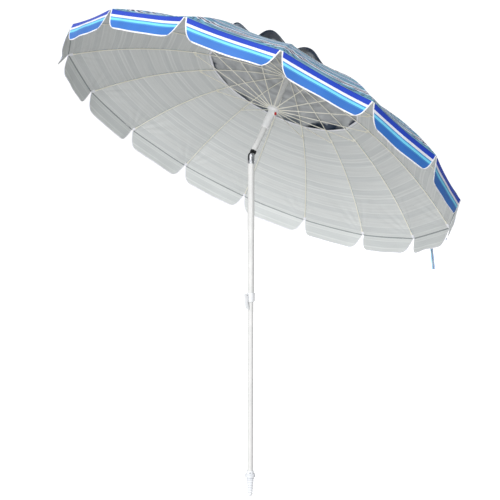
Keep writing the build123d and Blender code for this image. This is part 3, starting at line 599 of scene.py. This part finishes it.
def vent_tape(spoke):
    patches = gore_rows(spoke, spaced(VENT_EDGE + VENT_TAPE_WIDTH, VENT_EDGE - TAPE_LIP, 2))
    return sheet_mesh(f"vent_tape_{spoke + 1:02}", patches, [cloth_paint["tape"]], thickness=TAPE_THICKNESS)


vent_tapes = [vent_tape(spoke) for spoke in range(RIBS)]

# %% [markdown]
# Where two gores are sewn together, a narrow felled seam runs along the rib. It is a strip, thicker than
# the cloth, that follows it on both sides of the rib.

# %% Seams
SEAM_HALF, SEAM_THICKNESS = 0.0065, 0.0015
SEAM_SHORT = 0.004


def seam(spoke):
    rows = []
    before = (spoke - 1) % RIBS
    for radius in spaced(rim_radius - SEAM_SHORT, VENT_EDGE + TAPE_WIDTH, PANEL_ROWS):
        width, down = gore_width(radius), along_rib(radius, rim_radius)
        share = SEAM_HALF / width
        places = [(before, 1 - share), (before, 1 - share / 2)]
        places += [(spoke, 0.0), (spoke, share / 2), (spoke, share)]
        rows.append([
            (gore_point(gore, across, radius), (across * width, down)) for gore, across in places
        ])
    return sheet_mesh(f"canopy_seam_{spoke + 1:02}", [rows], canopy_paints, thickness=SEAM_THICKNESS)


seams = [seam(spoke) for spoke in range(RIBS)]

# %% [markdown]
# ## The valance
# A flap hangs from the rim between two ribs. It is cut with a narrow notch at each rib tip and wide
# round corners, and its sides and foot are bound in white tape. It hangs nearly square to the rim
# because it is stiff for its size, and only droops and waves a little. One flap is blown out at a corner.

# %% The shape of a flap
FLAP_NOTCH = 0.0025
FLAP_INSET, FLAP_BOW = 0.040, 0.45
FLAP_CORNER, CORNER_CUT = 0.028, 0.8
FLAP_DROOP, FLAP_LEAN, FLAP_WAVE, FLAP_BELLY = 0.017, 0.004, 0.0035, 0.006
BLOWN_GORE, BLOWN = 6, 0.022
FLAP_COLUMNS = 14
FLAP_ROWS = 18
rim_width = (at(1, *on_rib(rim_radius, OVER_RIB)) - at(0, *on_rib(rim_radius, OVER_RIB))).length
gravity_pull = Vector((0, 0, -1)) + canopy_axis * canopy_axis.z


def side_cut(drop):
    """How far in from the rib tip the side of a flap is, this far below the rim."""
    share = drop / FLAP_HEIGHT
    cut = FLAP_NOTCH + (FLAP_INSET - FLAP_NOTCH) * share * (1 - FLAP_BOW + FLAP_BOW * share)
    into = max(0.0, FLAP_CORNER - (FLAP_HEIGHT - drop))
    return cut + (FLAP_CORNER - sqrt(FLAP_CORNER**2 - into**2)) * CORNER_CUT


def flap_point(gore, beside, drop):
    """A point of a flap: beside is the distance along the rim from its first rib."""
    across = beside / rim_width
    ends, _ = gore_frame(gore, rim_radius, OVER_RIB)
    along = (ends[1] - ends[0]).normalized()
    facing = along.cross(canopy_axis).normalized()
    share = drop / FLAP_HEIGHT
    wave = sin(2 * pi * (1.15 * across + 0.37 * gore)) + 0.5 * sin(2 * pi * (2.3 * across + 0.61 * gore))
    lift = FLAP_LEAN * share + FLAP_WAVE * wave * share**1.3 + FLAP_BELLY * sin(pi * share) * sin(pi * across)
    if gore == BLOWN_GORE:
        lift += BLOWN * (share * (1 - across)) ** 1.5
    droop = gravity_pull * FLAP_DROOP * share**1.5
    return gore_point(gore, across, rim_radius, slack=0.0) - canopy_axis * drop + facing * lift + droop


def flap_row(gore, first_half, drop):
    """Points across half a flap, from its bound side to its middle."""
    side = side_cut(drop)
    besides = [side, *spaced(side + TAPE_WIDTH, rim_width / 2, FLAP_COLUMNS)]
    if not first_half:
        besides = [rim_width - beside for beside in reversed(besides)]
    return [(flap_point(gore, beside, drop), (beside, drop)) for beside in besides]


drops = [(FLAP_HEIGHT - TAPE_WIDTH) * sin(pi / 2 * step / FLAP_ROWS) for step in range(FLAP_ROWS + 1)]
drops.append(FLAP_HEIGHT)


# %% Flaps
def flap_patches(spoke):
    return [[flap_row(gore, start == 0.0, drop) for drop in drops] for gore, start, _ in halves(spoke)]


def flap(spoke):
    outwards = [rows[::-1] for rows in flap_patches(spoke)]
    paints = [cloth_paint["valance"], cloth_paint["inside"]]
    return sheet_mesh(f"valance_flap_{spoke + 1:02}", outwards, paints)


def flap_tape(spoke):
    """The tape that binds a flap's side and foot."""
    patches = []
    for side, rows in enumerate(flap_patches(spoke)):
        edge = slice(-2, None) if side == 0 else slice(0, 2)
        patches += [[row[edge] for row in rows], rows[-2:]]
    return sheet_mesh(f"flap_tape_{spoke + 1:02}", patches, [cloth_paint["tape"]], thickness=TAPE_THICKNESS)


flaps = [flap(spoke) for spoke in range(RIBS)]
flap_tapes = [flap_tape(spoke) for spoke in range(RIBS)]
print("flap width", round(rim_width, 3), "m, height", FLAP_HEIGHT, "m")

# %% [markdown]
# ## The vent cap
# The small upper canopy covers the vent and is sewn to the ribs only. Between them its edge is cut long,
# so it arches up and lets the wind out. The arch grows from nothing near the hub to its full height at
# the edge. It leans to one side, and it is tallest over two opposite sides of the canopy.

# %% Cap
CAP_OVER_RIB = 0.0059
CAP_EDGE = 0.452
CAP_TOP = 0.016
CAP_LIFT, CAP_CRUMPLE = 0.045, 0.006
CAP_FLAT_WITHIN = 0.12
CAP_TALLEST = 8.4  # counted in gores; the opposite side is as tall
HEM_LIP, HEM_THICKNESS = 0.0003, 0.0014
CAP_ROWS = 34
CAP_COLUMNS = 14


def cap_point(gore, across, radius):
    ends, out = gore_frame(gore, radius, CAP_OVER_RIB)
    reach = max(0.0, (radius - CAP_FLAT_WITHIN) / (CAP_EDGE - CAP_FLAT_WITHIN))
    arch = sin(pi * across**0.62) ** 1.7
    crumple = noise.noise(Vector((gore * 2.7 + 3 * across, reach * 5, 1.5))) * CAP_CRUMPLE * arch * reach
    lift = CAP_LIFT * (0.7 + 0.5 * cos(pi * (gore - CAP_TALLEST) / 4)) * arch * reach**1.8
    return ends[0].lerp(ends[1], across) + out * (lift + crumple)


def cap_rows(spoke, radii):
    return [cloth_rows(cap_point, *half, radii, CAP_EDGE, CAP_COLUMNS) for half in halves(spoke)]


def cap_panel(spoke):
    patches = cap_rows(spoke, spaced(CAP_EDGE, CAP_TOP, CAP_ROWS))
    paints = [cloth_paint["cap_outside"], cloth_paint["cap_inside"]]
    return sheet_mesh(f"cap_panel_{spoke + 1:02}", patches, paints)


def cap_hem(spoke):
    patches = cap_rows(spoke, spaced(CAP_EDGE + HEM_LIP, CAP_EDGE - TAPE_WIDTH, 2))
    paints = [cloth_paint["cap_outside"]]
    return sheet_mesh(f"cap_hem_{spoke + 1:02}", patches, paints, thickness=HEM_THICKNESS)


cap_panels = [cap_panel(spoke) for spoke in range(RIBS)]
cap_hems = [cap_hem(spoke) for spoke in range(RIBS)]

# %% [markdown]
# ## Rib pockets
# Each rib tip sits in a little pocket sewn under the corner where two gores meet. It is half a tube of
# tape with a closed outer end, a fold wider than the tip cap.

# %% Pockets
POCKET_LENGTH, POCKET_PAST_TIP, POCKET_CLOSING = 0.015, 0.0035, 0.0095
POCKET_RADIUS, POCKET_WIDER, POCKET_THICKNESS = 0.0062, 1.25, 0.0008
POCKET_OVER_RIB = 0.0022
POCKET_ROWS, POCKET_COLUMNS = 10, 12


def pocket(spoke):
    rows = []
    side = spokes[spoke].cross(canopy_axis)
    outer = TIP_RADIUS + POCKET_PAST_TIP
    for radius in spaced(TIP_RADIUS - POCKET_LENGTH, outer, POCKET_ROWS):
        closing = max(0.0, 1 - (outer - radius) / POCKET_CLOSING)
        girth = POCKET_RADIUS * sqrt(max(0.05, 1 - closing**2))
        up = spokes[spoke] * sin(slope(radius)) + canopy_axis * cos(slope(radius))
        centre = at(spoke, *on_rib(radius, POCKET_OVER_RIB))
        row = []
        for turn in spaced(0.0, pi, POCKET_COLUMNS):
            point = centre + side * girth * POCKET_WIDER * cos(turn) - up * girth * sin(turn)
            row.append((point, (girth * turn, radius)))
        rows.append(row)
    return sheet_mesh(f"rib_pocket_{spoke + 1:02}", [rows], [cloth_paint["tape"]], thickness=POCKET_THICKNESS)


pockets = [pocket(spoke) for spoke in range(RIBS)]

# %% [markdown]
# ## The tie strap
# A striped ribbon hangs from the rim between two ribs. It wraps the folded umbrella. It hangs down under
# its own weight, and drifts and turns a little.

# %% Tie strap
STRAP_TURN = radians(24)
STRAP_ROWS, STRAP_COLUMNS = 40, 4
low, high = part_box("tie_strap")
strap_length = high.z - low.z
strap_top = Vector(((low.x + high.x) / 2, (low.y + high.y) / 2, high.z))


def strap():
    rows = []
    for share in spaced(0.0, 1.0, STRAP_ROWS):
        turn = STRAP_TURN * share + 0.25 * sin(5 * share)
        side = Vector((cos(turn), sin(turn), 0)) * STRAP_WIDTH / 2
        sway = Vector((0.006 * sin(3.0 * share) + 0.018 * share**2, 0.004 * sin(4.2 * share), 0))
        centre = strap_top + sway - Vector((0, 0, strap_length * share))
        row = []
        for edge in spaced(0.0, 1.0, STRAP_COLUMNS):
            row.append((centre + side * (2 * edge - 1), (strap_length * share, STRAP_WIDTH * edge)))
        rows.append(row)
    return sheet_mesh("tie_ribbon", [rows], [cloth_paint["ribbon"]], thickness=2 * CLOTH)


tie_ribbon = strap()
print("strap length", round(strap_length, 3), "m")

# %% [markdown]
# ## Hanging the cloth on the frame
# Every piece rides on its own rib. As the ribs swing in, the cloth between them has to get narrower, and
# on the real umbrella it gathers. Here each piece keeps its cut shape and only rides with its rib.

# %% Ride on the ribs
PANEL_KEEP, FLAP_KEEP, CAP_KEEP = 0.948, 0.928, 0.972


def hang(piece, spoke, keep, slot, *nodes):
    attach(piece, rib_names[spoke])
    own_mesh(piece)
    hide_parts(*nodes)


for spoke in range(RIBS):
    hang(panels[spoke], spoke, PANEL_KEEP, "canopy_cloth", "canopy")
    hang(vent_tapes[spoke], spoke, PANEL_KEEP, "valance_cloth", "canopy")
    hang(seams[spoke], spoke, PANEL_KEEP, "canopy_cloth", "canopy")
    hang(flaps[spoke], spoke, FLAP_KEEP, "valance_cloth", "valance")
    hang(flap_tapes[spoke], spoke, FLAP_KEEP, "valance_cloth", "valance")
    hang(cap_panels[spoke], spoke, CAP_KEEP, "cap_cloth", "vent_cap")
    hang(cap_hems[spoke], spoke, CAP_KEEP, "cap_cloth", "vent_cap")
    hang(pockets[spoke], spoke, 1.0, "valance_cloth", "canopy")
STRAP_SPOKE = 15
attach(tie_ribbon, rib_names[STRAP_SPOKE])
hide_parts("tie_strap")

# %% [markdown]
# A panel is a trapezium, as long as the rib between the vent and the rim, and the cap's panel is nearly a
# triangle.


# %% [markdown]
# ## Studio
# A white sweep, with the light built into the world around it: brightest behind the camera, dimmer below
# and behind, and flagged off at both sides, most of all on the right. The flags give a white pole on a
# white ground its grey edges. Two soft lamps add direction. The sweep itself only shows, and lights nothing.

# %% Floor
FLOOR_SIZE, FLOOR_GAP = 60.0, 0.001


def floor():
    half = FLOOR_SIZE / 2
    corners = [(-half, -half, 0), (half, -half, 0), (half, half, 0), (-half, half, 0)]
    mesh = bpy.data.meshes.new("studio_floor")
    mesh.from_pydata(corners, [], [(0, 1, 2, 3)])
    white = Finish("studio white", grey(0.9), 0.9, Emission_Color=grey(1.0), Emission_Strength=1.0)
    mesh.materials.append(white.material)
    made = bpy.data.objects.new("studio_floor", mesh)
    made.location.z = cad_box[0].z - FLOOR_GAP
    made.visible_diffuse = made.visible_glossy = made.visible_transmission = False
    bpy.context.scene.collection.objects.link(made)
    return made


floor()

# %% Light
BACKDROP = 1.1
LIGHT_GRADES = {
    0: [(0.0, 0.66), (0.2, 0.9), (0.45, 1.0), (0.62, 0.95), (0.8, 0.45), (1.0, 0.2)],
    1: [(0.0, 1.32), (0.25, 1.16), (0.5, 0.8), (1.0, 0.5)],
    2: [(0.0, 0.62), (0.35, 0.85), (0.5, 1.0), (0.7, 1.15), (1.0, 1.15)],
}


def studio_world():
    """White to look at, and graded from left to right, front to back and bottom to top as a light.

    A colour ramp stops at 1, so each grade is halved in the ramp and doubled after it.
    """
    made = bpy.data.worlds.new("studio")
    made.use_nodes = True
    nodes, wires = made.node_tree.nodes, made.node_tree.links

    def times(a, b):
        product = nodes.new("ShaderNodeMath")
        product.operation = "MULTIPLY"
        wires.new(a, product.inputs[0])
        if isinstance(b, float):
            product.inputs[1].default_value = b
        else:
            wires.new(b, product.inputs[1])
        return product.outputs[0]

    def grade(heading, stops):
        share = nodes.new("ShaderNodeMapRange")
        share.inputs["From Min"].default_value = -1.0
        wires.new(heading, share.inputs["Value"])
        ramp = nodes.new("ShaderNodeValToRGB")
        elements = ramp.color_ramp.elements
        elements.remove(elements[1])
        elements[0].position, elements[0].color = stops[0][0], grey(stops[0][1] / 2)
        for place, value in stops[1:]:
            elements.new(place).color = grey(value / 2)
        wires.new(share.outputs[0], ramp.inputs["Fac"])
        return times(ramp.outputs["Color"], 2.0)

    towards = nodes.new("ShaderNodeSeparateXYZ")
    wires.new(nodes.new("ShaderNodeTexCoord").outputs["Generated"], towards.inputs[0])
    sideways, depth, height = (grade(towards.outputs[axis], stops) for axis, stops in LIGHT_GRADES.items())
    seen = nodes.new("ShaderNodeLightPath")
    chooser = nodes.new("ShaderNodeMix")
    wires.new(seen.outputs["Is Camera Ray"], chooser.inputs[0])
    wires.new(times(times(sideways, depth), height), chooser.inputs[2])
    chooser.inputs[3].default_value = BACKDROP
    nodes["Background"].inputs["Color"].default_value = grey(1.0)
    wires.new(chooser.outputs[0], nodes["Background"].inputs["Strength"])
    return made


bpy.context.scene.world = studio_world()
bpy.context.scene.view_settings.view_transform = "Standard"


def lamp(name, place, aim, size, power):
    data = bpy.data.lights.new(name, "AREA")
    data.size, data.energy = size, power
    made = bpy.data.objects.new(name, data)
    made.location = place
    made.rotation_euler = (Vector(aim) - Vector(place)).to_track_quat("-Z", "Y").to_euler()
    bpy.context.scene.collection.objects.link(made)
    return made


lamp("key", (-2.6, -4.6, 3.3), (0, 0, 1.5), 1.6, 105)
lamp("fill", (0.8, -4.8, 1.1), (0, 0, 1.6), 2.0, 28)

# %% Camera
CAMERA_BACK, CAMERA_HEIGHT = 4.0615, 1.4712
LENS, SENSOR = 61.33, 36.0
PITCH, YAW, ROLL = radians(-3.804), 0.001, 0.0031
camera = bpy.data.objects.new("camera", bpy.data.cameras.new("camera"))
camera.data.lens, camera.data.sensor_width = LENS, SENSOR
turned = Matrix.Rotation(YAW, 4, "Z")
turned @= Matrix.Rotation(pi / 2 + PITCH, 4, "X")
turned @= Matrix.Rotation(ROLL, 4, "Z")
camera.matrix_world = Matrix.Translation((0, -CAMERA_BACK, CAMERA_HEIGHT)) @ turned
bpy.context.scene.collection.objects.link(camera)
bpy.context.scene.camera = camera
